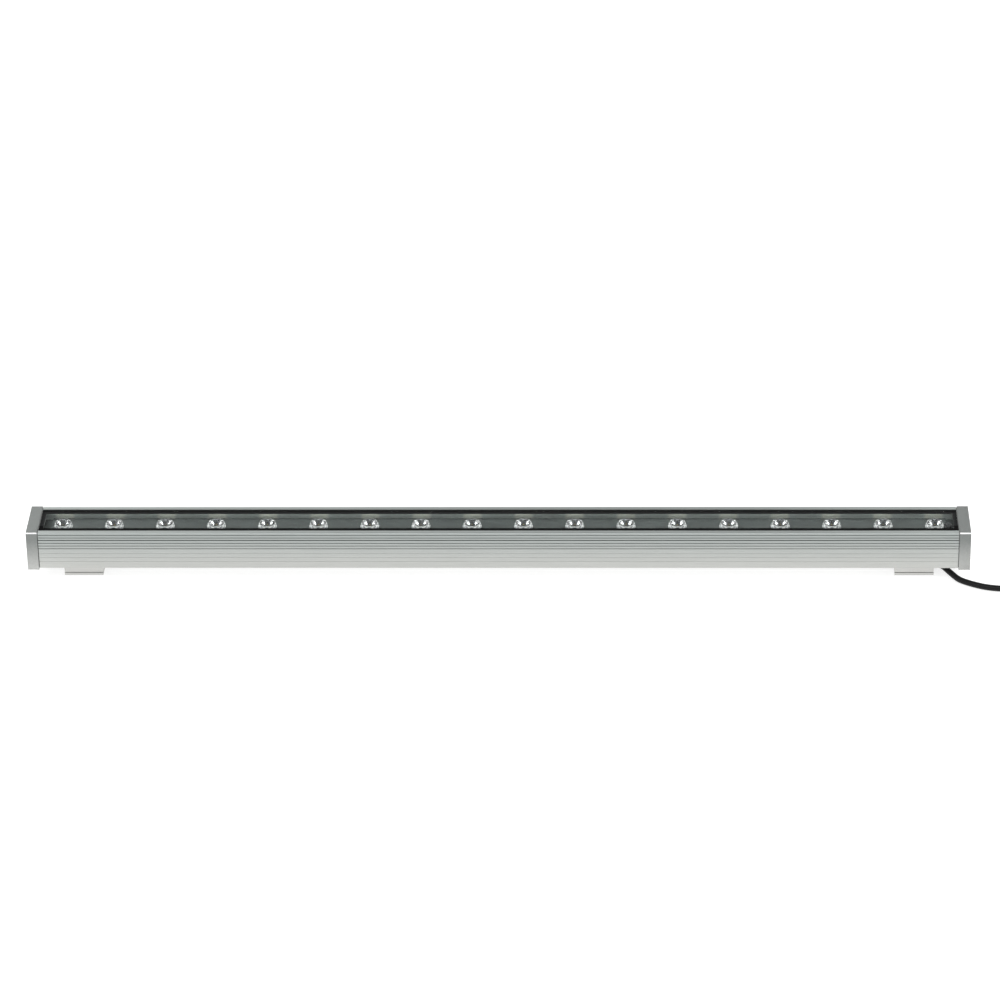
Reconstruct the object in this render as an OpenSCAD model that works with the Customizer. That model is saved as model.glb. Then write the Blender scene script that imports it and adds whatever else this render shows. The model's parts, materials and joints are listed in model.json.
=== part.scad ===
// LED strip batten: an extruded housing with a row of lensed LEDs behind glass, on two hinged
// brackets that clamp into a slot along its underside, with a supply lead at the right-hand end.
// X runs along the batten, -Y is the front and Z is up. The origin is on the mounting surface,
// midway between the ends.

/* [Housing] */
// Length over both end caps
overall_l = 1000; // [940:10:1100]
// Width of the end caps, front to back
cap_w = 60; // [60:1:64]
// Height of the end caps, without the lip under the body
cap_h = 44; // [44:1:50]
// Thickness of one end cap
cap_t = 12; // [9:1:14]
// How far the caps stand proud of the extrusion on every side
cap_lip = 0.8; // [0.4:0.2:1.2]
// Thickness of the outer walls
wall = 2.8; // [2.4:0.2:3]
// Number of cooling grooves on the front and on the back
groove_count = 6; // [3:1:7]
// Distance from one cooling groove to the next
groove_pitch = 3.25; // [3:0.25:3.5]

/* [Window and lenses] */
// Width of the rim on each side of the glass
rim_w = 6.2; // [5.8:0.2:6.6]
// Thickness of the glass
glass_t = 4; // [3:0.5:5]
// Number of lenses in the row
lens_count = 18; // [12:1:20]
// Diameter of a lens at its top
lens_d = 16.8; // [16:0.2:17.2]
// Diameter of a lens holder at its base
holder_d = 20; // [19:0.5:22]

/* [Brackets] */
// Distance from the middle of the batten to the middle of each bracket
bracket_x = 442; // [300:1:442]
// Length of one bracket along the batten
bracket_l = 41.5; // [40:0.5:42]
// Thickness of the foot plate
foot_t = 3; // [2:0.25:3.25]
// Distance between the two fixing holes in a foot
foot_hole_pitch = 26; // [24:1:28]
// Diameter of a fixing hole in a foot
foot_hole_d = 5.5; // [4.5:0.5:6.5]

/* [Cable] */
// Diameter of the supply lead
cable_d = 6.5; // [6:0.1:6.5]

/* [Hidden] */
$fn = 48;

// Heights and half widths of the housing
cap_z = 14;
cap_chamfer = 1.2;
cap_drop = 1.3;
gasket_t = 0.8;
body_z0 = cap_z + cap_lip;
body_z1 = cap_z + cap_h - cap_lip;
body_hw = cap_w / 2 - cap_lip;
body_l = overall_l - 2 * cap_t - 2 * gasket_t;
body_chamfer = 0.6;

// Cooling grooves, one of them deeper, and three faint lines lower down
main_groove = 2;
main_groove_up = 0.3;
main_groove_deep = 1.7;
groove_w = 1;
groove_deep = 0.8;
groove_first = 2.3;
line_w = 0.7;
line_deep = 0.2;
line_drops = [24, 28.8, 33.6];

// Window, glass and seal
glass_recess = 0.4;
seal_t = 0.6;
seal_lip = 0.9;
seal_front = 3.4;
ledge_w = 5.4;
window_hw = body_hw - rim_w;
glass_hw = window_hw - seal_lip;
cavity_hw = window_hw - ledge_w;
glass_z1 = body_z1 - glass_recess;
ledge_z = glass_z1 - glass_t - seal_t;
seal_l = overall_l - 2 * cap_t;
glass_l = seal_l - 2 * seal_lip;

// LED board and the floor that it lies on
board_drop = 10.2;
board_t = 1.6;
board_top = body_z1 - board_drop;
board_hw = cavity_hw - 0.3;
board_l = body_l - 23;
floor_top = board_top - board_t;
floor_t = 2.5;
floor_z = floor_top - floor_t;
end_to_lens = 36.75;
lens_pitch = (overall_l - 2 * end_to_lens) / (lens_count - 1);
lens_h = ledge_z - 0.1 - board_top;
lens_rim_t = 1;
lens_bulge = 1;
cup_r = lens_d / 2 - 0.7;
throat_r = 2.6;
board_screw_y = -13.5;
board_screw_every = 4;
board_screw_x = [
    for (i = [0:board_screw_every:lens_count - 2])
    -overall_l / 2 + end_to_lens + (i + 0.5) * lens_pitch
];

// T-slot along the underside
bottom_t = 2.6;
neck_hw = 4.1;
slot_hw = 8.4;
slot_h = 5.2;
slot_z = body_z0 + bottom_t;
channel_hw = 11;
channel_z1 = slot_z + slot_h + 2.4;

// Screw ports that run the whole length, as [y, z] for the back side
port_r = 1.65;
port_boss_r = 3.4;
upper_port = [cavity_hw + 5.3, (ledge_z + floor_top) / 2];
lower_port = [body_hw - wall - 3.6, 28];

// Gland on the underside, beside the right-hand bracket
gland_x = overall_l / 2 - 30.5;
gland_y = 18.75;
gland_r = 5;
gland_flange_r = 6;
washer_t = 0.6;
elbow_r = 4.4;
elbow_bend_r = 6;
elbow_z = 13;
cable_r = cable_d / 2;
inlet_play = 0.1;
sheath_z = 23.8;
outlet_z = elbow_z - elbow_bend_r;
collar_y = gland_y - elbow_bend_r;
collar_l = 4;

// Inner parts, placed from the gland
driver_x = gland_x - 199.5;
driver_l = 220;
driver_hw = 17;
driver_h = 13.5;
driver_tab = 9;
driver_tab_hw = 8;
driver_tab_t = 1.5;
driver_screw_x = [for (s = [-1, 1]) driver_x + s * (driver_l + driver_tab) / 2];
block_x = gland_x - 52.5;
block_l = 24;
block_hw = 9;
block_h = 11;
earth_x = gland_x - 25.5;
wire_hole_x = body_l / 2 - 7;
wire_r = 0.9;

// Small screws that hold the board, the driver and the earth lug
small_screw_r = 1.45;
small_head_r = 2.7;
small_hole_r = 1.5;

// Supply cores, from the sheath to the terminal block and the earth screw.
// Places along X are measured from the gland.
live_route = [
    [-1.3, 19.2, 23.8], [-1.7, 18.2, 26.5], [-4, 17, 30.5], [-10.5, 12.5, 33],
    [-20.5, 3, 33], [-31.5, -5, 32.2], [-40.5, -6, 32]
];
neutral_route = [
    [1.3, 19.2, 23.8], [1.1, 18.2, 26.8], [-0.5, 17, 32], [-6.5, 14, 36],
    [-17.5, 8, 37], [-29.5, 1.5, 34.5], [-35.5, 0, 32.6], [-40.5, 0, 32]
];
earth_route = [
    [0, 16.6, 23.8], [-0.5, 15.8, 26], [-3.5, 13, 27.6], [-9.5, 8.5, 28.2],
    [-15.5, 3.5, 27.8], [-22.2, 0, 27]
];

// Bracket: hinge line, shoe and foot
hinge_y = 17;
hinge_z = 6.2;
hinge_r = 5.2;
hinge_gap = 0.5;
pin_r = 2;
pin_play = 0.05;
lug_l = 8.1;
shoe_hy = 18;
shoe_z0 = foot_t + 0.6;
shoe_z1 = body_z0 - 0.1;
shoe_wall = 3;
knuckle_hl = bracket_l / 2 - lug_l - 0.3;
clamp_r = 3;

// Supply lead. Places along X are measured from the right-hand end of the batten.
bend_protector_r = 30;
lead_route = [
    [-26.5, -12, 7],
    [-24, -16.5, 6.8],
    [-20.5, -21.5, 5.8],
    [-17, -26, 4.7],
    [-13, -31, 3.7],
    [-8, -35.5, 3.25],
    [-1.5, -40, 3.25],
    [5.5, -44, 3.25],
    [13, -47.5, 3.25],
    [21, -50, 3.25],
    [29, -51.5, 3.25],
    [37, -52, 3.25],
    [45, -52, 3.25]
];
end_x = overall_l / 2;

// Hank of the rest of the lead: two end loops, drawn in at the waist by a tie
hank_x = end_x + 112;
hank_y = -25.5;
hank_run = 35;
fold_r = 20;
hank_pinch = 12;
hank_h = 12.2;
hank_outer = fold_r + 1.5 * cable_d;
tie_w = 14;
tie_t = 1.2;
tie_hw = 19;
tail_y = hank_y - fold_r - cable_d / 2;
tail_z = 8.5;
tail_end = hank_x + hank_run + 24;

// In-line connector at the end of the lead
sleeve_l = 22;
shell_l = 13;
nose_l = 10;
body_x = tail_end + sleeve_l;
ring_x = body_x + shell_l + 0.2;
ring_l = 22;
ring_r = 8.5;

// ---- shared shapes -------------------------------------------------------------------------

// Extrudes a section drawn in Y and Z along X, from x0
module along_x(x0, l) {
    translate([x0, 0, 0])
    rotate([90, 0, 90])
    linear_extrude(l)
    children();
}

module span(y0, y1, z0, z1) {
    translate([y0, z0])
    square([y1 - y0, z1 - z0]);
}

module both_sides() {
    children();
    mirror([1, 0])
    children();
}

module box(lo, hi) {
    translate(lo)
    cube(hi - lo);
}

// Block centred on x and on Y = 0, with its underside at z
module block(x, l, hw, z, h) {
    box([x - l / 2, -hw, z], [x + l / 2, hw, z + h]);
}

module rod_x(x0, l, y, z, r) {
    translate([x0, y, z])
    rotate([0, 90, 0])
    cylinder(h = l, r = r);
}

// A screw that points along -Z, with its head's underside at z = 0
module screw(r, l, head_r, head_h) {
    difference() {
        union() {
            translate([0, 0, -l])
            cylinder(h = l, r = r);
            cylinder(h = head_h, r = head_r);
        }
        translate([0, 0, head_h * 0.4])
        cylinder(h = head_h, r = head_r * 0.5, $fn = 6);
    }
}

function unit(v) = v / norm(v);

// Direction of the route at point i; the first and last may be given
function heading(p, i, first, last) =
    i == 0 ? first : i == len(p) - 1 ? last : unit(p[i + 1] - p[i - 1]);

// Tube swept along the points p, with the radius r[i] at point i
module sweep(p, r, first, last, sides = 12, up = [0, 0, 1]) {
    n = len(p);
    rings = [
        for (i = [0:n - 1])
        let (t = heading(p, i, first, last), s = unit(cross(t, up)), u = cross(s, t))
        for (k = [0:sides - 1])
        let (a = 360 * (k + 0.5) / sides)
        p[i] + r[i] * (cos(a) * s + sin(a) * u)
    ];
    start_face = [for (k = [0:sides - 1]) k];
    end_face = [for (k = [sides - 1:-1:0]) (n - 1) * sides + k];
    walls = [
        for (i = [0:n - 2])
        for (k = [0:sides - 1])
        let (a = i * sides + k, b = i * sides + (k + 1) % sides)
        for (half = [[a, a + sides, b], [b, a + sides, b + sides]])
        half
    ];
    polyhedron(points = rings, faces = concat([start_face], walls, [end_face]));
}

// ---- housing -------------------------------------------------------------------------------

function chamfered(hw, z0, z1, c) = [
    [-hw + c, z0], [hw - c, z0], [hw, z0 + c], [hw, z1 - c],
    [hw - c, z1], [-hw + c, z1], [-hw, z1 - c], [-hw, z0 + c]
];

module ports(r) {
    both_sides()
    for (p = [upper_port, lower_port])
    translate(p)
    circle(r = r);
}

module groove_row() {
    for (i = [0:groove_count - 1])
    let (z = body_z1 - groove_first - i * groove_pitch + (i == main_groove ? main_groove_up : 0))
    let (deep = i == main_groove ? main_groove_deep : groove_deep)
    span(body_hw - deep, body_hw + 1, z - groove_w / 2, z + groove_w / 2);
    for (drop = line_drops)
    span(body_hw - line_deep, body_hw + 1, body_z1 - drop - line_w, body_z1 - drop);
}

module chamber() {
    difference() {
        span(-body_hw + wall, body_hw - wall, slot_z, floor_z);
        span(-channel_hw, channel_hw, slot_z - 1, channel_z1);
        both_sides()
        translate(lower_port)
        union() {
            circle(r = port_boss_r);
            translate([0, -port_boss_r])
            square([port_boss_r + 2, 2 * port_boss_r]);
        }
    }
}

module housing_section() {
    difference() {
        polygon(chamfered(body_hw, body_z0, body_z1, body_chamfer));
        both_sides()
        groove_row();
        span(-window_hw, window_hw, ledge_z, body_z1 + 1);
        span(-cavity_hw, cavity_hw, floor_top, body_z1 + 1);
        chamber();
        span(-neck_hw, neck_hw, body_z0 - 1, slot_z + 1);
        span(-slot_hw, slot_hw, slot_z, slot_z + slot_h);
        ports(port_r);
    }
}

module housing_extrusion() {
    color("silver")
    difference() {
        along_x(-body_l / 2, body_l)
        housing_section();
        translate([gland_x, gland_y, body_z0 - 1])
        cylinder(h = bottom_t + 2, r = gland_r + 0.1);
        translate([wire_hole_x, 0, floor_z - 1])
        cylinder(h = floor_t + 2, r = 3);
        for (x = board_screw_x)
        translate([x, board_screw_y, floor_z - 1])
        cylinder(h = floor_t + 2, r = small_hole_r);
        for (x = concat(driver_screw_x, [earth_x]))
        translate([x, 0, channel_z1 - 3])
        cylinder(h = 4, r = small_hole_r);
    }
}

// Cap for one end: side is -1 for the left and 1 for the right
module end_cap(side) {
    inner = overall_l / 2 - cap_t;
    color("darkgray")
    mirror([side < 0 ? 1 : 0, 0, 0])
    difference() {
        union() {
            along_x(inner, cap_t)
            polygon(chamfered(cap_w / 2, cap_z - cap_drop, cap_z + cap_h, cap_chamfer));
            // shelf under the end of the seal
            box([inner - 5, -cavity_hw + 0.2, ledge_z - 1.8], [inner + 1, cavity_hw - 0.2, ledge_z]);
        }
        along_x(inner - 1, cap_t + 2)
        ports(port_r + 0.5);
        along_x(overall_l / 2 - 3, 4)
        ports(3.9);
        // lightening pocket on the inner face
        box([inner - 1, -14, cap_z + 12], [inner + cap_t / 2, 14, cap_z + 28]);
    }
}

module cap_gasket(side) {
    color("black")
    mirror([side < 0 ? 1 : 0, 0, 0])
    along_x(body_l / 2, gasket_t)
    difference() {
        polygon(chamfered(body_hw - 0.4, body_z0 + 0.4, body_z1 - 0.4, body_chamfer));
        span(-window_hw, window_hw, ledge_z, body_z1 + 1);
        span(-cavity_hw, cavity_hw, floor_top, body_z1 + 1);
        chamber();
        ports(port_r + 0.5);
    }
}

module cap_screws(side) {
    head_x = overall_l / 2 - 3;
    color("gainsboro")
    mirror([side < 0 ? 1 : 0, 0, 0])
    for (y = [-1, 1])
    for (p = [upper_port, lower_port])
    translate([head_x, y * p[0], p[1]])
    rotate([0, 90, 0])
    screw(port_r - 0.05, cap_t + 9, 3.5, 2.5);
}

module cover_glass() {
    color("lightcyan", 0.4)
    box([-glass_l / 2, -glass_hw, glass_z1 - glass_t], [glass_l / 2, glass_hw, glass_z1]);
}

module glass_seal() {
    color("black")
    difference() {
        box([-seal_l / 2, -window_hw, ledge_z], [seal_l / 2, window_hw, glass_z1]);
        box([-glass_l / 2, -glass_hw, glass_z1 - glass_t], [glass_l / 2, glass_hw, glass_z1 + 1]);
        box([5 - seal_l / 2, seal_front - cavity_hw, ledge_z - 1], [seal_l / 2 - 5, cavity_hw, glass_z1 + 1]);
    }
}

// ---- light source --------------------------------------------------------------------------

module at_lenses() {
    for (i = [0:lens_count - 1])
    translate([-overall_l / 2 + end_to_lens + i * lens_pitch, 0, board_top])
    children();
}

module led_board() {
    color("dimgray")
    difference() {
        box([-board_l / 2, -board_hw, floor_top], [board_l / 2, board_hw, board_top]);
        for (x = board_screw_x)
        translate([x, board_screw_y, floor_top - 1])
        cylinder(h = board_t + 2, r = small_screw_r + 0.15);
    }
}

module board_screws() {
    color("gainsboro")
    for (x = board_screw_x)
    translate([x, board_screw_y, board_top])
    screw(small_screw_r, board_t + floor_t - 0.2, small_head_r, 1.6);
}

module led_emitters() {
    pad = 3;
    color("khaki")
    at_lenses() {
        translate([-pad / 2, -pad / 2, 0])
        cube([pad, pad, 0.7]);
        translate([0, 0, 0.6])
        intersection() {
            sphere(r = 1.3);
            cylinder(h = 2, r = 2);
        }
    }
}

// Reflector cups that stand around the LEDs and carry the lenses
module lens_holders() {
    seat = lens_h - lens_rim_t;
    color("gainsboro")
    at_lenses()
    rotate_extrude()
    polygon([
        [throat_r, 0], [holder_d / 2, 0], [holder_d / 2, 1.2], [lens_d / 2 + 0.4, seat],
        [cup_r, seat], [throat_r, 0.5]
    ]);
}

// Lenses with a flat top and a domed underside that hangs into the cup
module lenses() {
    seat = lens_h - lens_rim_t;
    dome = [for (i = [0:6]) let (a = 15 * i) [(cup_r - 0.3) * sin(a), seat - lens_bulge * cos(a)]];
    color("aliceblue", 0.5)
    at_lenses()
    rotate_extrude()
    polygon(concat(dome, [[lens_d / 2, seat], [lens_d / 2, lens_h], [0, lens_h]]));
}

// ---- driver and wiring ---------------------------------------------------------------------

module led_driver() {
    z = channel_z1;
    color("white")
    difference() {
        union() {
            block(driver_x, driver_l, driver_hw, z, driver_h);
            block(driver_x, driver_l + 2 * driver_tab, driver_tab_hw, z, driver_tab_t);
        }
        for (x = driver_screw_x)
        translate([x, 0, z - 1])
        cylinder(h = 4, r = small_screw_r + 0.15);
    }
}

module driver_screws() {
    color("gainsboro")
    for (x = driver_screw_x)
    translate([x, 0, channel_z1 + driver_tab_t])
    screw(small_screw_r, 3.5, small_head_r, 1.6);
}

module terminal_block() {
    poles = 3;
    pitch = 2 * block_hw / poles;
    color("ivory")
    difference() {
        block(block_x, block_l, block_hw, channel_z1, block_h);
        for (i = [0:poles - 1])
        for (s = [-1, 1])
        translate([block_x + s * 7, (i - 1) * pitch, channel_z1 + block_h - 3])
        cylinder(h = 4, r = 1.8);
    }
}

module wire(p, first, last, up) {
    sweep(p, [for (q = p) wire_r], first, last, 8, up);
}

function from_gland(route) = [for (p = route) p + [gland_x, 0, 0]];

// Live and neutral to the terminal block, and earth to its screw
module supply_wires() {
    across = [0.3, 1, 0];
    color("saddlebrown")
    wire(from_gland(live_route), [0, 0, 1], [-1, 0, 0], across);
    color("steelblue")
    wire(from_gland(neutral_route), [0, 0, 1], [-1, 0, 0], across);
    color("yellowgreen")
    wire(from_gland(earth_route), [0, 0, 1], [-1, 0, 0], across);
}

// Output wires from the driver, up through the floor to the end of the LED board
module led_wires() {
    z = channel_z1 + driver_h - 1.5;
    for (s = [-1, 1])
    color(s < 0 ? "firebrick" : "black")
    wire([
        [driver_x + driver_l / 2, s * 12, z], [driver_x + driver_l / 2 + 12, s * 13, z + 1],
        [block_x, s * 14, z + 1.5], [wire_hole_x - 16, s * 10, z + 1.5],
        [wire_hole_x - 4, s * 2.6, z + 1.6], [wire_hole_x, s * 1.4, floor_z + 1],
        [wire_hole_x, s * 1.4, board_top + 1], [wire_hole_x - 2.5, s * 1.6, board_top + 2.2],
        [wire_hole_x - 5.4, s * 3, board_top + 1.4], [wire_hole_x - 6.4, s * 3, board_top]
    ], [1, 0, 0], [0, 0, -1], [0.3, 1, 0]);
}

module earth_lug() {
    color("goldenrod")
    translate([earth_x, 0, channel_z1])
    difference() {
        cylinder(h = 1, r = 4);
        translate([0, 0, -1])
        cylinder(h = 3, r = 1.6);
    }
}

module earth_screw() {
    color("gainsboro")
    translate([earth_x, 0, channel_z1 + 1])
    screw(small_screw_r, 3, small_head_r, 1.8);
}

// ---- cable outlet --------------------------------------------------------------------------

// Quarter bend that turns a round section from straight down to straight forward
module elbow() {
    translate([gland_x, collar_y, elbow_z])
    rotate([0, 90, 0])
    rotate_extrude(angle = 90)
    translate([elbow_bend_r, 0])
    children();
}

module ring(outer, inner) {
    difference() {
        circle(r = outer);
        circle(r = inner);
    }
}

// Extrudes a section forward from the elbow's outlet, starting at y
module forward(y, l) {
    translate([gland_x, y, outlet_z])
    rotate([90, 0, 0])
    linear_extrude(l)
    children();
}

// Extrudes a section up the gland's axis, starting at z
module upward(z, l) {
    translate([gland_x, gland_y, z])
    linear_extrude(l)
    children();
}

module gland_body() {
    bore = cable_r + inlet_play;
    flange_t = body_z0 - washer_t - elbow_z;
    color("black")
    union() {
        elbow()
        ring(elbow_r, bore);
        forward(collar_y, collar_l)
        ring(elbow_r, bore);
        upward(elbow_z, flange_t)
        ring(gland_flange_r, bore);
        upward(elbow_z + flange_t, 6.4)
        ring(gland_r, bore);
    }
}

module gland_washer() {
    color("dimgray")
    upward(body_z0 - washer_t, washer_t)
    ring(gland_flange_r, gland_r + 0.05);
}

module gland_locknut() {
    color("black")
    upward(slot_z, 2.6)
    difference() {
        circle(r = 7.4, $fn = 6);
        circle(r = gland_r + 0.05);
    }
}

module gland_nut() {
    color("black")
    forward(collar_y - 0.6, collar_l - 1)
    difference() {
        circle(r = 5.8, $fn = 6);
        circle(r = elbow_r + 0.05);
    }
}

// The sheathed end of the lead, from the bend protector up into the housing
module lead_inlet() {
    color("black")
    union() {
        elbow()
        circle(r = cable_r);
        forward(collar_y, collar_l)
        circle(r = cable_r);
        upward(elbow_z, sheath_z - elbow_z)
        circle(r = cable_r);
    }
}

module strain_relief() {
    bend_y = 3;
    route = concat(
        [[gland_x, collar_y - collar_l, outlet_z], [gland_x, bend_y + 2.8, outlet_z]],
        [
            for (a = [0:6:30])
            [gland_x + bend_protector_r * (1 - cos(a)), bend_y - bend_protector_r * sin(a), outlet_z]
        ]
    );
    radii = [for (i = [0:len(route) - 1]) elbow_r - 0.14 * i];
    color("black")
    sweep(route, radii, [0, -1, 0], [sin(30), -cos(30), 0]);
}

// ---- supply lead ---------------------------------------------------------------------------

module cable_lead() {
    route = [for (p = lead_route) p + [end_x, 0, 0]];
    color("black")
    sweep(route, [for (p = route) cable_r], [sin(30), -cos(30), 0], [1, 0, 0]);
}

// Half width of the hank's outline at a distance x from its waist
function hank_hw(x) = hank_outer - hank_pinch * (1 + cos(180 * x / hank_run)) / 2;

hank_outline = concat(
    [for (i = [-10:9]) [i * hank_run / 10, -hank_hw(i * hank_run / 10)]],
    [for (a = [-90:10:80]) [hank_run + hank_outer * cos(a), hank_outer * sin(a)]],
    [for (i = [-10:9]) [-i * hank_run / 10, hank_hw(i * hank_run / 10)]],
    [for (a = [90:10:260]) [-hank_run + hank_outer * cos(a), hank_outer * sin(a)]]
);

// Straight run of the lead along X, drawn with a square section
module cord_box(x0, x1, y, z) {
    box([x0, y - cable_r, z - cable_r], [x1, y + cable_r, z + cable_r]);
}

module cable_hank() {
    lead = lead_route[len(lead_route) - 1];
    color("black")
    difference() {
        union() {
            translate([hank_x, hank_y, 0])
            linear_extrude(hank_h)
            polygon(hank_outline);
            cord_box(end_x + lead[0], hank_x - hank_run, lead[1], cable_r);
            cord_box(hank_x + tie_w, tail_end, tail_y, tail_z);
        }
        box([hank_x - tie_w / 2, hank_y - 30, -1], [hank_x + tie_w / 2, hank_y + 30, tie_t]);
    }
}

module hank_tie() {
    color("dimgray")
    translate([hank_x, hank_y, 0])
    difference() {
        box([-tie_w / 2, -tie_hw - tie_t, 0], [tie_w / 2, tie_hw + tie_t, hank_h + tie_t]);
        box([-tie_w, -tie_hw, tie_t], [tie_w, tie_hw, hank_h]);
    }
}

// Places a shape turned about the Z axis on the connector's axis, pointing away from the hank
module on_connector(x) {
    translate([x, tail_y, tail_z])
    rotate([0, 90, 0])
    children();
}

// Tapered sleeve with bend-relief grooves
module connector_sleeve() {
    color("black")
    on_connector(tail_end)
    difference() {
        cylinder(h = sleeve_l, r1 = 4.2, r2 = 6.4);
        for (i = [0:3])
        translate([0, 0, 3 + 4 * i])
        rotate_extrude()
        translate([3.9 + 0.4 * i, 0])
        square([3, 1.6]);
    }
}

module connector_body() {
    color("black")
    union() {
        rod_x(body_x, shell_l, tail_y, tail_z, 7.2);
        rod_x(body_x + shell_l - 1, nose_l + 1, tail_y, tail_z, 6.2);
    }
}

// Coupling ring, open at the far end, with finger flutes around it
module connector_ring() {
    mouth = ring_l - nose_l + 0.2;
    color("black")
    on_connector(ring_x)
    difference() {
        cylinder(h = ring_l, r = ring_r);
        translate([0, 0, -1])
        cylinder(h = ring_l, r = 6.3);
        translate([0, 0, ring_l - mouth])
        cylinder(h = ring_l, r = 7.1);
        for (a = [15:30:345])
        rotate([0, 0, a])
        translate([ring_r + 0.9, 0, -1])
        cylinder(h = ring_l - 3, r = 1.5);
    }
}

module connector_pins() {
    color("gold")
    for (a = [90, 210, 330])
    rod_x(body_x + shell_l + nose_l, 5, tail_y + 3.2 * cos(a), tail_z + 3.2 * sin(a), 0.8);
}

// ---- brackets ------------------------------------------------------------------------------

module at_bracket(side) {
    translate([side * bracket_x, 0, 0])
    children();
}

module shoe() {
    hl = bracket_l / 2;
    back_y = hinge_y - hinge_r - hinge_gap;
    lid_z = hinge_z + hinge_r + hinge_gap;
    color("silver")
    difference() {
        union() {
            box([-hl, -shoe_hy, shoe_z0], [hl, back_y, shoe_z1]);
            box([-hl, back_y - 1, lid_z], [hl, hinge_y + hinge_r, shoe_z1]);
            box([-knuckle_hl, back_y - 1, hinge_z], [knuckle_hl, hinge_y, shoe_z1]);
            rod_x(-knuckle_hl, 2 * knuckle_hl, hinge_y, hinge_z, hinge_r);
        }
        // hollow underside
        translate([0, (back_y - shoe_hy) / 2, shoe_z0 - 1])
        linear_extrude(shoe_z1 - shoe_wall - shoe_z0 + 1)
        square([bracket_l - 2 * shoe_wall, back_y + shoe_hy - 2 * shoe_wall], center = true);
        rod_x(-hl, bracket_l, hinge_y, hinge_z, pin_r + pin_play);
        cylinder(h = 30, r = clamp_r + 0.1);
    }
}

module slot_nut() {
    color("gainsboro")
    difference() {
        union() {
            box([-10, 0.5 - slot_hw, slot_z + 0.2], [10, slot_hw - 0.5, slot_z + 4.2]);
            box([-10, 0.2 - neck_hw, shoe_z1 + 0.3], [10, neck_hw - 0.2, slot_z + 1]);
        }
        cylinder(h = 30, r = clamp_r + 0.05);
    }
}

module clamp_screw() {
    head_z = shoe_z1 - shoe_wall;
    color("gainsboro")
    translate([0, 0, head_z])
    mirror([0, 0, 1])
    screw(clamp_r, slot_z + 4 - head_z, 5.2, 3.4);
}

module foot() {
    hl = bracket_l / 2;
    color("silver")
    difference() {
        union() {
            box([-hl, -shoe_hy, 0], [hl, hinge_y - hinge_r - 0.8, foot_t]);
            for (x = [-hl, hl - lug_l]) {
                box([x, hinge_y - hinge_r - 1.5, 0], [x + lug_l, hinge_y + hinge_r, foot_t]);
                box([x, hinge_y - hinge_r, 0], [x + lug_l, hinge_y + hinge_r, hinge_z]);
                rod_x(x, lug_l, hinge_y, hinge_z, hinge_r);
            }
        }
        rod_x(-hl - 1, bracket_l + 2, hinge_y, hinge_z, pin_r + pin_play);
        rod_x(-hl - 1, 5.2, hinge_y, hinge_z, 3.8);
        translate([hl - 3.4, hinge_y, hinge_z])
        rotate([0, 90, 0])
        cylinder(h = 5, r = 4.1, $fn = 6);
        for (s = [-1, 1])
        translate([s * foot_hole_pitch / 2, -4, -1])
        cylinder(h = foot_t + 2, r = foot_hole_d / 2);
    }
}

module tilt_bolt() {
    head_x = 4.2 - bracket_l / 2;
    color("gainsboro")
    translate([head_x, hinge_y, hinge_z])
    rotate([0, -90, 0])
    screw(pin_r, bracket_l - 4.4, 3.5, 4);
}

module tilt_nut() {
    color("gainsboro")
    translate([bracket_l / 2 - 3.4, hinge_y, hinge_z])
    rotate([0, 90, 0])
    difference() {
        cylinder(h = 3.2, r = 4, $fn = 6);
        translate([0, 0, -1])
        cylinder(h = 6, r = pin_r + pin_play);
    }
}

housing_extrusion();
end_cap(-1);  // end_cap_left
end_cap(1);  // end_cap_right
cap_gasket(-1);  // cap_gasket_left
cap_gasket(1);  // cap_gasket_right
cap_screws(-1);  // cap_screws_left
cap_screws(1);  // cap_screws_right
cover_glass();
glass_seal();
led_board();
board_screws();
led_emitters();
lens_holders();
lenses();
led_driver();
driver_screws();
terminal_block();
supply_wires();
led_wires();
earth_lug();
earth_screw();
gland_body();
gland_washer();
gland_locknut();
gland_nut();
lead_inlet();
strain_relief();
cable_lead();
cable_hank();
hank_tie();
connector_sleeve();
connector_body();
connector_ring();
connector_pins();
at_bracket(-1) shoe();  // shoe_left
at_bracket(1) shoe();  // shoe_right
at_bracket(-1) slot_nut();  // slot_nut_left
at_bracket(1) slot_nut();  // slot_nut_right
at_bracket(-1) clamp_screw();  // clamp_screw_left
at_bracket(1) clamp_screw();  // clamp_screw_right
at_bracket(-1) foot();  // foot_left
at_bracket(1) foot();  // foot_right
at_bracket(-1) tilt_bolt();  // tilt_bolt_left
at_bracket(1) tilt_bolt();  // tilt_bolt_right
at_bracket(-1) tilt_nut();  // tilt_nut_left
at_bracket(1) tilt_nut();  // tilt_nut_right
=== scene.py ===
"""Looks for the LED strip batten. Metres; X runs along the batten, -Y is the front and Z is up."""

import json
from math import cos, pi, radians, sin

import bmesh
import bpy
from mathutils import Matrix, Vector


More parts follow.
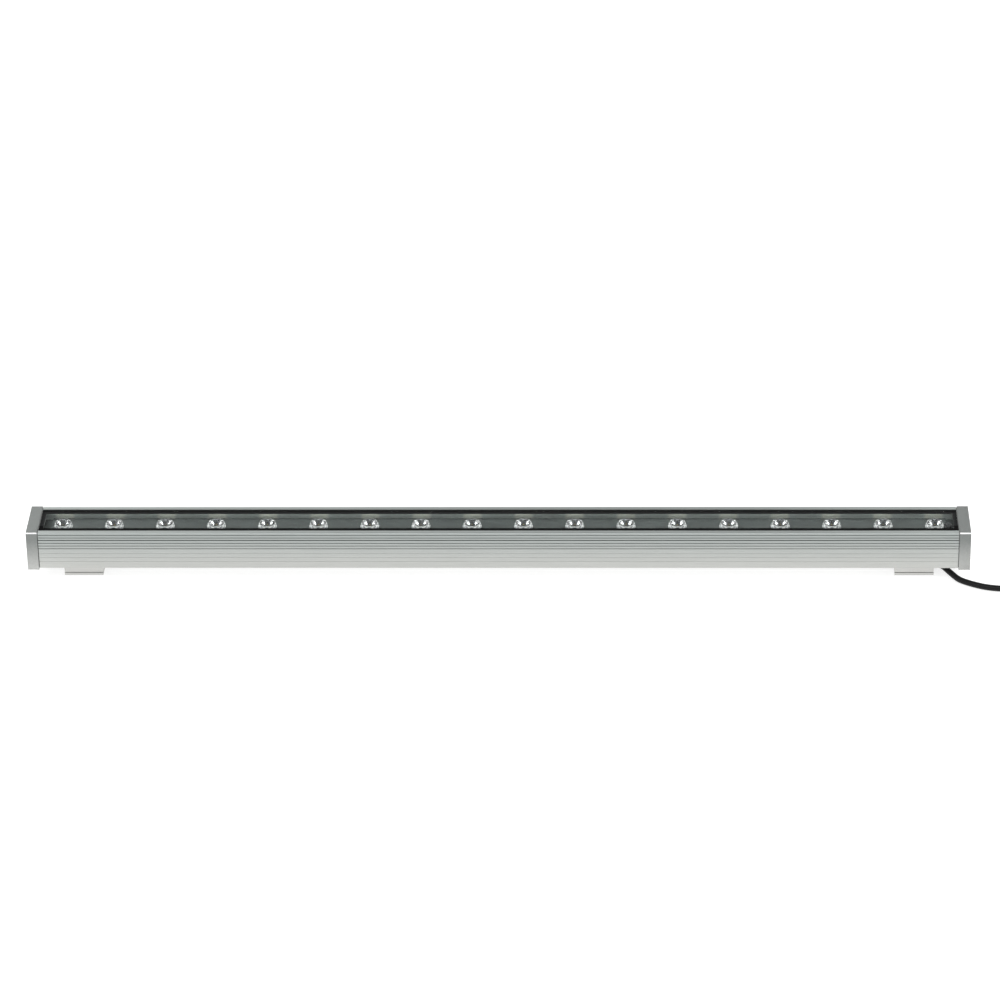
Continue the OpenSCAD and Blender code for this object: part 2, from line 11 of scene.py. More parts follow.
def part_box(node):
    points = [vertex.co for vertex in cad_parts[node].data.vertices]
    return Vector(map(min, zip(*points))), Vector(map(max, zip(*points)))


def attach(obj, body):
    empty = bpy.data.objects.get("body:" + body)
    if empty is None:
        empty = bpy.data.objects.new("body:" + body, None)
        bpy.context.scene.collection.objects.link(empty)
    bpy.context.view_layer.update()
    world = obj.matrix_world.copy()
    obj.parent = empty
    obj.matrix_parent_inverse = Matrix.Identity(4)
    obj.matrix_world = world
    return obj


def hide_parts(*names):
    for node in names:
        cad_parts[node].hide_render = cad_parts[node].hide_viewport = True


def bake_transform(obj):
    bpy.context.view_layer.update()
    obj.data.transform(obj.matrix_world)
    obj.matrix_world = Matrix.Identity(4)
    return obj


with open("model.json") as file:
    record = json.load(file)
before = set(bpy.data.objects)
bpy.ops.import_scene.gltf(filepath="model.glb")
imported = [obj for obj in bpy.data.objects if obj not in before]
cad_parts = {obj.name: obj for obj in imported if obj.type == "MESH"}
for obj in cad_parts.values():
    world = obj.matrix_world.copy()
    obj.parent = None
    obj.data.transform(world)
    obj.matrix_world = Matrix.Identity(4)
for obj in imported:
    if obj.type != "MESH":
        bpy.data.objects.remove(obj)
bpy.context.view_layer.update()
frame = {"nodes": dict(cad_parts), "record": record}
MM = 0.001

# ---- mesh helpers --------------------------------------------------------------------------


def add_mesh(name, verts, faces, smooth=True):
    mesh = bpy.data.meshes.new(name)
    mesh.from_pydata(verts, [], faces)
    mesh.validate()
    mesh.polygons.foreach_set("use_smooth", [smooth] * len(mesh.polygons))
    piece = bpy.data.objects.new(name, mesh)
    bpy.context.scene.collection.objects.link(piece)
    return piece


def tube(name, path, radius, sides=20):
    """Closed tube along path, with its frame carried from point to point so that it doesn't twist."""
    heads = [(path[min(i + 1, len(path) - 1)] - path[max(i - 1, 0)]).normalized() for i in range(len(path))]
    side = heads[0].cross(Vector((0, 0, 1))).normalized()
    verts = []
    for point, head in zip(path, heads):
        side = (side - side.dot(head) * head).normalized()
        other = side.cross(head)
        verts += [point + radius * (cos(2 * pi * k / sides) * side + sin(2 * pi * k / sides) * other)
                  for k in range(sides)]
    faces = []
    for i in range(len(path) - 1):
        for k in range(sides):
            a, b = i * sides + k, i * sides + (k + 1) % sides
            faces.append((a, a + sides, b + sides, b))
    last = (len(path) - 1) * sides
    faces.append(tuple(range(sides)))
    faces.append(tuple(last + k for k in reversed(range(sides))))
    return add_mesh(name, verts, faces)


def smooth_through(points, step):
    """Catmull-Rom curve through points, sampled about every step."""
    ends = [2 * points[0] - points[1]] + points + [2 * points[-1] - points[-2]]
    curve = []
    for a, b, c, d in zip(ends, ends[1:], ends[2:], ends[3:]):
        count = max(2, round((c - b).length / step))
        for i in range(count):
            t = i / count
            curve.append(0.5 * (2 * b + (c - a) * t + (2 * a - 5 * b + 4 * c - d) * t * t
                                + (3 * b - a - 3 * c + d) * t * t * t))
    return curve + [points[-1]]


def ease(t):
    t = min(1.0, max(0.0, t))
    return t * t * (3 - 2 * t)


# ---- camera --------------------------------------------------------------------------------

# The camera looks at TARGET from DISTANCE away and from ELEVATION above it, turned by YAW about
# the vertical and by ROLL about its own axis.
TARGET = Vector((0.00274, 0.0, 0.08144))
DISTANCE = 4.8
ELEVATION = radians(28.94)
YAW = radians(-1.856)
ROLL = radians(-0.91)
LENS = 163.07
SENSOR_WIDTH = 36
CLIP_END = 50


def add_camera():
    look = Vector((sin(YAW) * cos(ELEVATION), cos(YAW) * cos(ELEVATION), -sin(ELEVATION)))
    right = Vector((cos(YAW), -sin(YAW), 0))
    up = right.cross(look)
    side = cos(ROLL) * right + sin(ROLL) * up
    top = cos(ROLL) * up - sin(ROLL) * right
    data = bpy.data.cameras.new("camera")
    data.lens = LENS
    data.sensor_width = SENSOR_WIDTH
    data.clip_end = CLIP_END
    camera = bpy.data.objects.new("camera", data)
    turn = Matrix((side, top, -look)).transposed().to_4x4()
    camera.matrix_world = Matrix.Translation(TARGET - DISTANCE * look) @ turn
    bpy.context.scene.collection.objects.link(camera)
    bpy.context.scene.camera = camera


add_camera()

# ---- light and floor -----------------------------------------------------------------------

# Colours of the studio at these heights, from 0 at the horizon and below to 1 overhead
SKY = ((0.0, (0.62, 0.63, 0.64)), (0.5, (1.15, 1.15, 1.15)), (0.95, (0.30, 0.31, 0.32)))
# The dark patch's height, its half width, how far its soft edge reaches, and how much light it leaves
PATCH_HEIGHT = ELEVATION
PATCH_SPREAD = radians(8.5)
PATCH_EDGE = 1.25
PATCH_LIGHT = 0.08
FLOOR_REACH = 12
FLOOR_GREY = 0.4
FLOOR_GLOW = 0.78


def add_world():
    """Soft white studio, brightest 30 degrees up and darkest overhead. The flat glass of the batten mirrors
    a dark patch behind it towards the front."""
    world = bpy.data.worlds.new("studio")
    world.use_nodes = True
    nodes, links = world.node_tree.nodes, world.node_tree.links
    background = nodes["Background"]
    coords = nodes.new("ShaderNodeTexCoord")
    split = nodes.new("ShaderNodeSeparateXYZ")
    ramp = nodes.new("ShaderNodeValToRGB")
    elements = ramp.color_ramp.elements
    elements.new(SKY[1][0])
    for element, (height, colour) in zip(elements, SKY):
        element.position = height
        element.color = (*colour, 1)
    links.new(coords.outputs["Generated"], split.inputs[0])
    links.new(split.outputs["Z"], ramp.inputs["Fac"])
    toward_patch = nodes.new("ShaderNodeVectorMath")
    toward_patch.operation = "DOT_PRODUCT"
    toward_patch.inputs[1].default_value = (0, cos(PATCH_HEIGHT), sin(PATCH_HEIGHT))
    patch = nodes.new("ShaderNodeMapRange")
    patch.inputs["From Min"].default_value = cos(PATCH_SPREAD * PATCH_EDGE)
    patch.inputs["From Max"].default_value = cos(PATCH_SPREAD)
    patch.inputs["To Min"].default_value = 1
    patch.inputs["To Max"].default_value = PATCH_LIGHT
    shade = nodes.new("ShaderNodeVectorMath")
    shade.operation = "SCALE"
    links.new(coords.outputs["Generated"], toward_patch.inputs[0])
    links.new(toward_patch.outputs["Value"], patch.inputs["Value"])
    links.new(patch.outputs["Result"], shade.inputs["Scale"])
    links.new(ramp.outputs["Color"], shade.inputs[0])
    links.new(shade.outputs["Vector"], background.inputs["Color"])
    background.inputs["Strength"].default_value = 1.0
    bpy.context.scene.world = world


def add_softbox(name, at, width, height, power):
    """Area lamp at a place, aimed at the origin."""
    data = bpy.data.lights.new(name, "AREA")
    data.shape = "RECTANGLE"
    data.size, data.size_y = width, height
    data.energy = power
    lamp = bpy.data.objects.new(name, data)
    lamp.location = at
    lamp.rotation_euler = (-Vector(at)).to_track_quat("-Z", "Y").to_euler()
    bpy.context.scene.collection.objects.link(lamp)


def add_floor():
    """White ground that glows a little, so that it stays white away from the lamps."""
    reach = FLOOR_REACH
    corners = [(-reach, -reach, 0), (reach, -reach, 0), (reach, reach, 0), (-reach, reach, 0)]
    floor = add_mesh("floor", corners, [(0, 1, 2, 3)])
    mat = bpy.data.materials.new("floor_white")
    mat.use_nodes = True
    shader = mat.node_tree.nodes["Principled BSDF"]
    shader.inputs["Base Color"].default_value = (FLOOR_GREY, FLOOR_GREY, FLOOR_GREY, 1)
    shader.inputs["Roughness"].default_value = 0.9
    shader.inputs["Emission Color"].default_value = (1, 1, 1, 1)
    shader.inputs["Emission Strength"].default_value = FLOOR_GLOW
    floor.data.materials.append(mat)


add_world()
add_floor()
add_softbox("front_high", at=(0, -1.3, 2.3), width=3.0, height=0.5, power=18)
add_softbox("left_side", at=(-1.8, 1.3, 1.7), width=1.5, height=1.5, power=44)
add_softbox("right_side", at=(1.8, 1.3, 1.7), width=1.5, height=1.5, power=44)
bpy.context.scene.view_settings.view_transform = "Standard"

# ---- supply lead ---------------------------------------------------------------------------

CABLE_D = 6.5 * MM
END_X = 0.5
# Places along X are measured from the right-hand end of the batten, in millimetres.
LEAD_ROUTE = [
    (-26.5, -12, 7),
    (-24, -16.5, 6.8),
    (-20.5, -21.5, 5.8),
    (-17, -26, 4.7),
    (-13, -31, 3.7),
    (-8, -35.5, 3.25),
    (-1.5, -40, 3.25),
    (5.5, -44, 3.25),
    (13, -47.5, 3.25),
    (21, -50, 3.25),
    (29, -51.5, 3.25),
    (37, -52, 3.25),
    (45, -52, 3.25),
]
LEAD_STEP = 2.5 * MM
# The hank's middle, half the length of its straight runs, and how far its waist is drawn in
HANK_X = END_X + 112 * MM
HANK_Y = -25.5 * MM
HANK_RUN = 35 * MM
HANK_PINCH = 12 * MM
TIE_W = 14 * MM
TIE_T = 1.2 * MM
TIE_EASE = 12 * MM
OUTER_TURN = 26.5 * MM
INNER_TURN = 20 * MM
# The last run lies in the hollow between the two lower ones, so it rises less than a full diameter.
UPPER_TURN = (OUTER_TURN + INNER_TURN) / 2
LOWER_Z = CABLE_D / 2
UPPER_Z = LOWER_Z + 5.63 * MM
TAIL_Z = 8.5 * MM
RUN_STEPS = 14
FOLD_STEPS = 16
JOIN_STEPS = 8
TAIL_STEPS = 6


def over_tie(x):
    """How far the tie lifts the runs at a distance x from it."""
    return TIE_T * (1 - ease((abs(x) - TIE_W / 2) / TIE_EASE))


def hank_run(radius, height, way):
    """One run of the hank, in the direction way along X, drawn in at the waist."""
    run = []
    for i in range(-RUN_STEPS, RUN_STEPS + 1):
        x = way * i * HANK_RUN / RUN_STEPS
        reach = radius - HANK_PINCH * (1 + cos(pi * x / HANK_RUN)) / 2
        run.append(Vector((HANK_X + x, HANK_Y - way * reach, height + over_tie(x))))
    return run


def hank_fold(way, radius, new_radius, height, new_height):
    """Half turn at the end of a run that went in the direction way."""
    fold = []
    for i in range(1, FOLD_STEPS):
        t = ease(i / FOLD_STEPS)
        reach = radius + (new_radius - radius) * t
        angle = -pi / 2 + pi * i / FOLD_STEPS
        fold.append(Vector((
            HANK_X + way * (HANK_RUN + reach * cos(angle)),
            HANK_Y + way * reach * sin(angle),
            height + (new_height - height) * t,
        )))
    return fold


def lead_path():
    laid = smooth_through([Vector((END_X + x * MM, y * MM, z * MM)) for x, y, z in LEAD_ROUTE], LEAD_STEP)
    hank = hank_run(OUTER_TURN, LOWER_Z, 1)
    hank += hank_fold(1, OUTER_TURN, OUTER_TURN, LOWER_Z, LOWER_Z)
    hank += hank_run(OUTER_TURN, LOWER_Z, -1)
    hank += hank_fold(-1, OUTER_TURN, INNER_TURN, LOWER_Z, LOWER_Z)
    hank += hank_run(INNER_TURN, LOWER_Z, 1)
    hank += hank_fold(1, INNER_TURN, INNER_TURN, LOWER_Z, LOWER_Z)
    hank += hank_run(INNER_TURN, LOWER_Z, -1)
    hank += hank_fold(-1, INNER_TURN, UPPER_TURN, LOWER_Z, UPPER_Z)
    hank += hank_run(UPPER_TURN, UPPER_Z, 1)
    gap = hank[0] - laid[-1]
    join = [laid[-1] + gap * i / JOIN_STEPS for i in range(1, JOIN_STEPS)]
    start = hank[-1]
    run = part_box("connector_sleeve")[0].x - start.x
    rise = TAIL_Z - start.z
    parts = [i / TAIL_STEPS for i in range(1, TAIL_STEPS + 1)]
    tail = [start + Vector((run * part, 0, rise * ease(part))) for part in parts]
    return laid + join + hank + tail


path = lead_path()
lead = tube("supply_lead", path, CABLE_D / 2)
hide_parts("cable_lead", "cable_hank")
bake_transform(lead)

# ---- tie around the hank -------------------------------------------------------------------

# Half width, top and corner radius of the band's inside
TIE_HALF = 18.2 * MM
TIE_TOP = 13.5 * MM
TIE_ROUND = 4 * MM
CORNER_POINTS = 7
# The band's edges keep this share of its thickness, and the slope to them is this wide.
TIE_SLIM = 0.8
TIE_EDGE = 0.4 * MM
# The lapped end in millimetres, seen from above. It sinks a little into the band, and its top edge slopes in.
LAP_OUTLINE = ((-7, -9), (7, -9), (7, 8), (4, 11), (-4, 11), (-7, 8))
LAP_SINK = 0.1
LAP_SLOPE = 0.3 * MM
LAP_TOP = 0.925


def rounded_loop(half, low, high, radius):
    """Closed outline in Y and Z with round corners, anticlockwise from the lower right."""
    corners = ((half - radius, low + radius, -90), (half - radius, high - radius, 0),
               (radius - half, high - radius, 90), (radius - half, low + radius, 180))
    turns = [90 * i / (CORNER_POINTS - 1) for i in range(CORNER_POINTS)]
    return [(y + radius * cos(radians(start + turn)), z + radius * sin(radians(start + turn)))
            for y, z, start in corners for turn in turns]


def band_loop(growth):
    """The band's outline at a part of its thickness, from 0 inside to 1 outside."""
    out = TIE_T * growth
    return rounded_loop(TIE_HALF + out, TIE_T - out, TIE_TOP + out, TIE_ROUND + out)


def add_tie():
    """Hook-and-loop band around the waist, with its free end lapped over the top."""
    edge = TIE_W / 2
    inner, slim, outer = band_loop(0), band_loop(TIE_SLIM), band_loop(1)
    rings = ((-edge, inner), (-edge, slim), (TIE_EDGE - edge, outer),
             (edge - TIE_EDGE, outer), (edge, slim), (edge, inner))
    count = len(inner)
    verts = [(HANK_X + x, HANK_Y + y, z) for x, loop in rings for y, z in loop]
    faces = []
    for a in range(len(rings)):
        b = (a + 1) % len(rings)
        for k in range(count):
            n = (k + 1) % count
            faces.append((a * count + k, a * count + n, b * count + n, b * count + k))
    base = len(verts)
    sides = len(LAP_OUTLINE)
    lap_low = TIE_TOP + TIE_T * (1 - LAP_SINK)
    lap_high = lap_low + TIE_T
    for z, shrink in ((lap_low, 1), (lap_high - LAP_SLOPE, 1), (lap_high, LAP_TOP)):
        verts += [(HANK_X + x * MM * shrink, HANK_Y + y * MM * shrink, z) for x, y in LAP_OUTLINE]
    for level in (base, base + sides):
        for k in range(sides):
            n = (k + 1) % sides
            faces.append((level + k, level + n, level + sides + n, level + sides + k))
    faces.append(tuple(base + k for k in reversed(range(sides))))
    faces.append(tuple(base + 2 * sides + k for k in range(sides)))
    tie = add_mesh("hank_strap", verts, faces, smooth=False)
    mesh = bmesh.new()
    mesh.from_mesh(tie.data)
    bmesh.ops.recalc_face_normals(mesh, faces=mesh.faces)
    mesh.to_mesh(tie.data)
    mesh.free()
    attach(tie, "left_foot")
    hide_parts("hank_tie")
    return tie


tie = add_tie()

# ---- materials -----------------------------------------------------------------------------

LENS_COUNT = 18
# The boundary between a cup's mirror and its outside, and the half width of the space for the lenses
CUP_EDGE = 7.95 * MM
CAVITY_SIDE = 17.9 * MM
# The painted facets, light and dark patches of colour, repeat this many times around each lens and every
# FACET_RISE up it.
FACETS_AROUND = 9
FACET_RISE = 3.4 * MM
# Painted reflected light warms the wall behind each lens: fully within GLOW_NEAR of its axis along X, and not
# past GLOW_FAR.
GLOW_NEAR = 7 * MM
GLOW_FAR = 12 * MM
# Above this, a part of the normal counts as facing that way.
FACING = 0.7
# Painted shade darkens a cup's mirror towards its front and back, as X falls from the first to the second of
# these shares of the radius.
CUP_SIDES = (0.82, 0.45)
# How far the painted light and dark facets blend
FACET_BLEND = (-0.35, 0.35)
# Y times Z of the normal, which is 0.5 on the caps' chamfers
CHAMFER_SLOPE = (0.36, 0.46)
FOOT_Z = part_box("housing_extrusion")[0].z
TOP_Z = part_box("housing_extrusion")[1].z - 8 * MM
ALONG = (0.012, 1, 1)
EVEN = (1, 1, 1)


def math_node(tree, operation, first, *others):
    """Output of a maths node. The first input is a socket, and the others are sockets or numbers."""
    node = tree.nodes.new("ShaderNodeMath")
    node.operation = operation
    tree.links.new(first, node.inputs[0])
    for socket, value in zip(node.inputs[1:], others):
        if isinstance(value, (int, float)):
            socket.default_value = value
        else:
            tree.links.new(value, socket)
    return node.outputs[0]


def place_of(tree, output="Object"):
    """The X, Y and Z sockets of the surface point, or of its normal with output Normal."""
    split = tree.nodes.new("ShaderNodeSeparateXYZ")
    tree.links.new(tree.nodes.new("ShaderNodeTexCoord").outputs[output], split.inputs[0])
    return split.outputs


def noise_of(tree, stretch, scale, detail):
    """Noise over the object's own coordinates, which are first multiplied by stretch."""
    coords = tree.nodes.new("ShaderNodeTexCoord")
    mapping = tree.nodes.new("ShaderNodeMapping")
    texture = tree.nodes.new("ShaderNodeTexNoise")
    mapping.inputs["Scale"].default_value = stretch
    texture.inputs["Scale"].default_value = scale
    texture.inputs["Detail"].default_value = detail
    tree.links.new(coords.outputs["Object"], mapping.inputs["Vector"])
    tree.links.new(mapping.outputs["Vector"], texture.inputs["Vector"])
    return texture.outputs["Fac"]


def map_range(tree, value, source, target=(0, 1), smooth=False):
    """Takes value from the source range to the target range, held at both ends."""
    node = tree.nodes.new("ShaderNodeMapRange")
    if smooth:
        node.interpolation_type = "SMOOTHSTEP"
    node.inputs["From Min"].default_value = source[0]
    node.inputs["From Max"].default_value = source[1]
    node.inputs["To Min"].default_value = target[0]
    node.inputs["To Max"].default_value = target[1]
    tree.links.new(value, node.inputs["Value"])
    return node.outputs["Result"]


def ranged(tree, noise, low, high):
    """Spreads the middle of a noise's range from low to high."""
    return map_range(tree, noise, (0.3, 0.7), (low, high))


def tinted(tree, socket, factor, tint, mode="MULTIPLY"):
    """Puts tint over the colour that feeds a shader socket, by factor."""
    mix = tree.nodes.new("ShaderNodeMix")
    mix.data_type = "RGBA"
    mix.blend_type = mode
    mix.inputs["B"].default_value = (*tint, 1)
    tree.links.new(factor, mix.inputs["Factor"])
    tree.links.new(socket.links[0].from_socket, mix.inputs["A"])
    tree.links.new(mix.outputs["Result"], socket)


def material(name, dark, light, rough, metallic=0.0, patch=(EVEN, 20), grain=(EVEN, 1500),
             depth=0.02, strength=0.3, top_shade=None, **sockets):
    """Procedural surface: broad patches vary the colour and the gloss, and a fine grain raises the
    surface. patch and grain are (stretch, scale), and depth is the grain's height in millimetres.
    top_shade is the tint of a painted shade, which the colour falls to from the foot of the housing to near
    its top edge."""
    mat = bpy.data.materials.new(name)
    mat.use_nodes = True
    tree = mat.node_tree
    shader = tree.nodes["Principled BSDF"]
    colour = shader.inputs["Base Color"]
    shader.inputs["Metallic"].default_value = metallic
    for socket, value in sockets.items():
        shader.inputs[socket.replace("_", " ")].default_value = value
    broad = noise_of(tree, *patch, 3)
    fine = noise_of(tree, *grain, 2)
    blend = math_node(tree, "MULTIPLY_ADD", fine, 0.5, math_node(tree, "MULTIPLY", broad, 0.5))
    mix = tree.nodes.new("ShaderNodeMix")
    mix.data_type = "RGBA"
    mix.inputs["A"].default_value = (*dark, 1)
    mix.inputs["B"].default_value = (*light, 1)
    tree.links.new(ranged(tree, blend, 0, 1), mix.inputs["Factor"])
    tree.links.new(mix.outputs["Result"], colour)
    # Painted shade: the colour darkens from the foot of the housing towards its top.
    if top_shade:
        tinted(tree, colour, map_range(tree, place_of(tree)[2], (FOOT_Z, TOP_Z)), top_shade)
    tree.links.new(ranged(tree, broad, *rough), shader.inputs["Roughness"])
    bump = tree.nodes.new("ShaderNodeBump")
    bump.inputs["Strength"].default_value = strength
    bump.inputs["Distance"].default_value = depth * MM
    tree.links.new(fine, bump.inputs["Height"])
    tree.links.new(bump.outputs["Normal"], shader.inputs["Normal"])
    return mat


def clear(name, tint, ior, smear):
    """Clear solid that lets the lamps' light through, with faint smears in its gloss."""
    mat = bpy.data.materials.new(name)
    mat.use_nodes = True
    tree = mat.node_tree
    shader = tree.nodes["Principled BSDF"]
    shader.inputs["Base Color"].default_value = (*tint, 1)
    shader.inputs["Transmission Weight"].default_value = 1
    shader.inputs["IOR"].default_value = ior
    tree.links.new(ranged(tree, noise_of(tree, (0.3, 1, 1), 25, 3), 0.0, smear), shader.inputs["Roughness"])
    light_path = tree.nodes.new("ShaderNodeLightPath")
    passing = tree.nodes.new("ShaderNodeBsdfTransparent")
    passing.inputs["Color"].default_value = (*tint, 1)
    mix = tree.nodes.new("ShaderNodeMixShader")
    tree.links.new(light_path.outputs["Is Shadow Ray"], mix.inputs["Fac"])
    tree.links.new(shader.outputs["BSDF"], mix.inputs[1])
    tree.links.new(passing.outputs["BSDF"], mix.inputs[2])
    tree.links.new(mix.outputs["Shader"], tree.nodes["Material Output"].inputs["Surface"])
    return mat


def along_from_lens(tree):
    """Place along X from the nearest lens's axis."""
    low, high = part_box("lens_holders")
    width = high.y - low.y
    pitch = (high.x - low.x - width) / (LENS_COUNT - 1)
    shifted = math_node(tree, "ADD", place_of(tree)[0], pitch / 2)
    return math_node(tree, "WRAP", shifted, pitch / 2, -pitch / 2)


def metallised_cup():
    """Mirror inside each cup, with painted shade towards its front and back, and bright plastic outside it.
    Painted light and dark facets lie over both.
    """
    mat = material("metallised_cup", (0.82, 0.82, 0.82), (0.93, 0.93, 0.92), (0.05, 0.14), 1.0,
                   (EVEN, 400), (EVEN, 1500), 0.01)
    tree = mat.node_tree
    shader = tree.nodes["Principled BSDF"]
    colour = shader.inputs["Base Color"]
    x = along_from_lens(tree)
    y = place_of(tree)[1]
    squares = math_node(tree, "MULTIPLY_ADD", x, x, math_node(tree, "MULTIPLY", y, y))
    radius = math_node(tree, "SQRT", squares)
    mirror = math_node(tree, "LESS_THAN", radius, CUP_EDGE)
    sideways = math_node(tree, "DIVIDE", math_node(tree, "ABSOLUTE", x), radius)
    painted_cup_shade = map_range(tree, sideways, CUP_SIDES, smooth=True)
    # Painted shade over the front and back of each cup's mirror.
    tinted(tree, colour, math_node(tree, "MULTIPLY", mirror, painted_cup_shade), (0.36, 0.37, 0.38))
    # Painted facets: alternating patches of painted highlight and painted shade over the whole holder.
    turn = math_node(tree, "MULTIPLY", math_node(tree, "ARCTAN2", y, x), FACETS_AROUND)
    rise = math_node(tree, "MULTIPLY", place_of(tree)[2], 2 * pi / FACET_RISE)
    painted_facets = math_node(tree, "MULTIPLY", math_node(tree, "SINE", turn), math_node(tree, "SINE", rise))
    tinted(tree, colour, map_range(tree, painted_facets, FACET_BLEND, smooth=True), (0.34, 0.35, 0.36))
    tree.links.new(mirror, shader.inputs["Metallic"])
    return mat


def anodised_aluminium():
    """Drawn and anodised metal, with painted shade towards its top. Inside, painted light brightens its
    walls, a warm painted reflection lies behind each lens, and painted shade darkens its floor."""
    mat = material("anodised_aluminium", (0.485, 0.49, 0.47), (0.59, 0.595, 0.57), (0.42, 0.54), 1.0,
                   (ALONG, 160), (ALONG, 2200), 0.01, top_shade=(0.69, 0.73, 0.74))
    tree = mat.node_tree
    colour = tree.nodes["Principled BSDF"].inputs["Base Color"]
    inside = math_node(tree, "LESS_THAN", math_node(tree, "ABSOLUTE", place_of(tree)[1]), CAVITY_SIDE)
    facing = place_of(tree, "Normal")
    upright = math_node(tree, "GREATER_THAN", math_node(tree, "ABSOLUTE", facing[1]), FACING)
    level = math_node(tree, "GREATER_THAN", facing[2], FACING)
    wall = math_node(tree, "MULTIPLY", inside, upright)
    from_lens = math_node(tree, "ABSOLUTE", along_from_lens(tree))
    painted_lens_light = map_range(tree, from_lens, (GLOW_FAR, GLOW_NEAR), smooth=True)
    # Painted light brightens the walls inside.
    tinted(tree, colour, wall, (1.7, 1.7, 1.7))
    # A warm painted reflection on the walls behind each lens.
    tinted(tree, colour, math_node(tree, "MULTIPLY", wall, painted_lens_light), (1.4, 1.33, 1.25))
    # Painted shade darkens the upward faces inside.
    tinted(tree, colour, math_node(tree, "MULTIPLY", inside, level), (0.2, 0.21, 0.21))
    return mat


def cast_aluminium():
    """Bead-blasted casting, with painted shade towards its top and a painted highlight on the chamfers of its
    front and back top edges.
    """
    mat = material("cast_aluminium", (0.40, 0.405, 0.39), (0.54, 0.545, 0.53), (0.42, 0.54), 1.0,
                   (EVEN, 420), (EVEN, 2600), 0.03, 0.5, top_shade=(0.46, 0.48, 0.48))
    tree = mat.node_tree
    facing = place_of(tree, "Normal")
    slope = math_node(tree, "MULTIPLY", math_node(tree, "ABSOLUTE", facing[1]), facing[2])
    chamfer_highlight = map_range(tree, slope, CHAMFER_SLOPE, smooth=True)
    # Painted highlight on the upward chamfers that face front or back.
    tinted(tree, tree.nodes["Principled BSDF"].inputs["Base Color"], chamfer_highlight, (0.80, 0.80, 0.80), "MIX")
    return mat


def seal_rubber():
    """Matt black rubber, with painted shade that darkens it and dulls its gloss along the front. The gaskets
    under the caps are grey silicone.
    """
    mat = material("seal_rubber", (0.010, 0.011, 0.011), (0.020, 0.021, 0.021), (0.5, 0.7), 0.0,
                   (EVEN, 60), (EVEN, 2500), 0.02, Specular_IOR_Level=0.4)
    tree = mat.node_tree
    shader = tree.nodes["Principled BSDF"]
    place = place_of(tree)
    front = math_node(tree, "LESS_THAN", place[1], -CAVITY_SIDE / 2)
    body_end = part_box("housing_extrusion")[1].x
    gasket = math_node(tree, "GREATER_THAN", math_node(tree, "ABSOLUTE", place[0]), body_end)
    # Painted shade darkens the front run, and its gloss is cut there too, below.
    tinted(tree, shader.inputs["Base Color"], front, (0.1, 0.1, 0.1))
    tinted(tree, shader.inputs["Base Color"], gasket, (0.16, 0.165, 0.16), "MIX")
    tree.links.new(map_range(tree, front, (0, 1), (0.4, 0.03)), shader.inputs["Specular IOR Level"])
    return mat


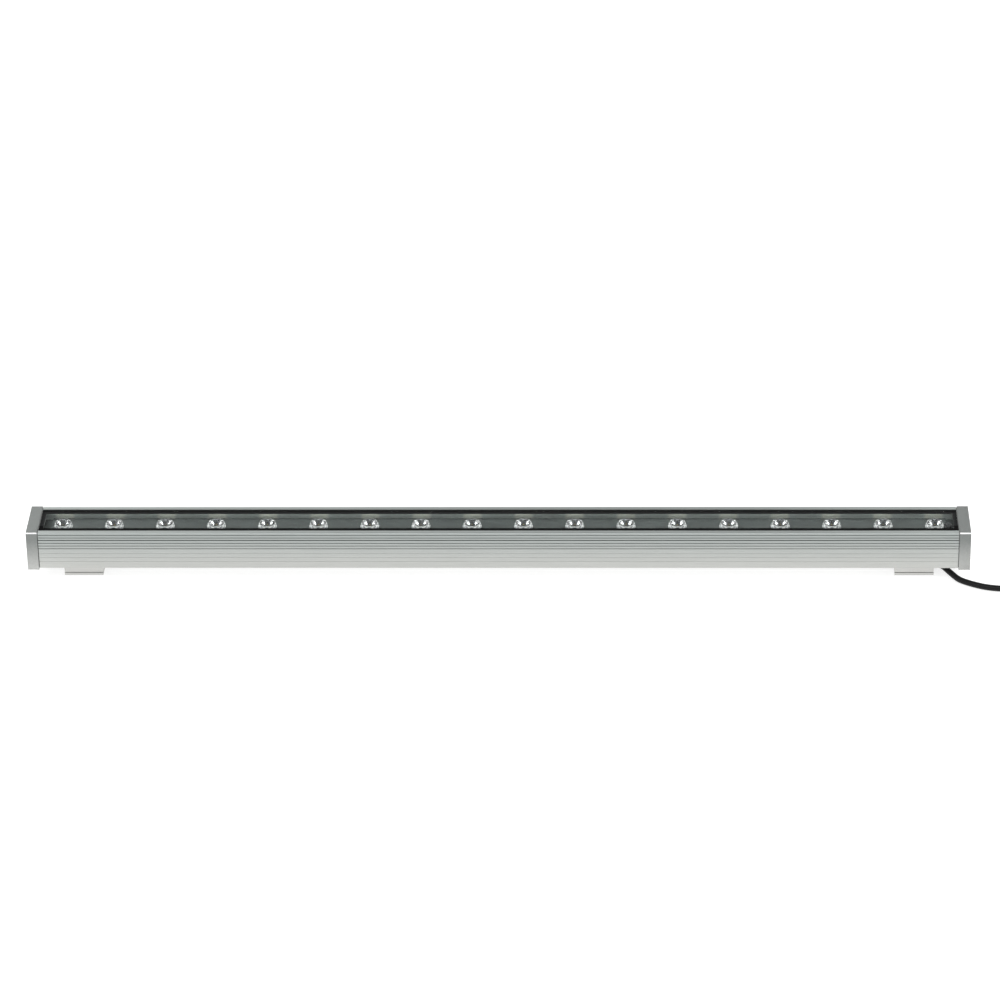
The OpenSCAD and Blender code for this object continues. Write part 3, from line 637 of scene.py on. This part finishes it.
MATERIALS = {
    "anodised_aluminium": anodised_aluminium(),
    "cast_aluminium": cast_aluminium(),
    "bracket_aluminium": material("bracket_aluminium", (0.52, 0.52, 0.50), (0.61, 0.61, 0.59),
                                  (0.30, 0.42), 1.0, (ALONG, 160), (ALONG, 2200), 0.01),
    "stainless": material("stainless", (0.55, 0.55, 0.54), (0.68, 0.67, 0.66), (0.18, 0.34), 1.0,
                          (EVEN, 300), (EVEN, 3000), 0.01),
    "seal_rubber": seal_rubber(),
    "board": material("board", (0.034, 0.041, 0.039), (0.047, 0.055, 0.052), (0.35, 0.5), 0.0,
                      (EVEN, 30), (EVEN, 1800), 0.01),
    "phosphor": material("phosphor", (0.30, 0.24, 0.08), (0.44, 0.36, 0.13), (0.3, 0.4), 0.0,
                         (EVEN, 900), (EVEN, 6000), 0.01),
    "driver_case": material("driver_case", (0.66, 0.66, 0.63), (0.76, 0.76, 0.73), (0.4, 0.55), 0.0,
                            (EVEN, 30), (EVEN, 2000), 0.02),
    "terminal_nylon": material("terminal_nylon", (0.70, 0.67, 0.56), (0.80, 0.77, 0.66), (0.4, 0.55), 0.0,
                               (EVEN, 60), (EVEN, 2000), 0.02),
    "wire_pvc": material("wire_pvc", (0.030, 0.030, 0.032), (0.055, 0.055, 0.058), (0.3, 0.45), 0.0,
                         (EVEN, 200), (EVEN, 3000), 0.01),
    "brass_parts": material("brass_parts", (0.66, 0.47, 0.18), (0.80, 0.60, 0.28), (0.2, 0.35), 1.0,
                            (EVEN, 300), (EVEN, 3000), 0.01),
    "gland_nylon": material("gland_nylon", (0.012, 0.012, 0.013), (0.024, 0.024, 0.025), (0.38, 0.55), 0.0,
                            (EVEN, 80), (EVEN, 1800), 0.03, 0.4),
    "cable_rubber": material("cable_rubber", (0.003, 0.003, 0.003), (0.008, 0.008, 0.008), (0.30, 0.42), 0.0,
                             (EVEN, 60), (EVEN, 2400), 0.02, 0.4, Specular_IOR_Level=0.2),
    "tie_fabric": material("tie_fabric", (0.02, 0.02, 0.02), (0.06, 0.06, 0.06), (0.8, 0.95), 0.0,
                           (EVEN, 200), (EVEN, 1500), 0.2, 0.8),
    "metallised_cup": metallised_cup(),
    "clear_glass": clear("clear_glass", (0.975, 0.99, 0.985), 1.5, 0.01),
    "lens_clear": clear("lens_clear", (0.99, 0.99, 0.99), 1.49, 0.03),
}

SLOTS = {row["node"]: row["material_slot"] for row in frame["record"]["subparts"]}


def dress(piece, slot):
    piece.data.materials.clear()
    piece.data.materials.append(MATERIALS[slot])


for name, node in frame["nodes"].items():
    dress(node, SLOTS[name])
dress(lead, "cable_rubber")
dress(tie, "tie_fabric")


WELD_GAP = 0.001 * MM
FLAT_ANGLE = radians(0.5)
EDGE_ANGLE = radians(40)


def soften(name, width):
    """Rounds a CAD node's edges a little, as a real part's are. Its triangles are first merged to whole
    flat faces, because a bevel on them leaves thin dark lines."""
    node = frame["nodes"][name]
    weld = node.modifiers.new("weld", "WELD")
    weld.merge_threshold = WELD_GAP
    merge = node.modifiers.new("merge_flats", "DECIMATE")
    merge.decimate_type = "DISSOLVE"
    merge.angle_limit = FLAT_ANGLE
    bevel = node.modifiers.new("edges", "BEVEL")
    bevel.width = width * MM
    bevel.segments = 2
    bevel.limit_method = "ANGLE"
    bevel.angle_limit = EDGE_ANGLE
    flat = node.modifiers.new("flat_faces", "WEIGHTED_NORMAL")
    flat.mode = "FACE_AREA"
    flat.weight = 50


for name in ("end_cap_left", "end_cap_right"):
    soften(name, 0.25)
for name in ("shoe_left", "shoe_right", "foot_left", "foot_right"):
    soften(name, 0.2)
soften("housing_extrusion", 0.12)
soften("cover_glass", 0.25)
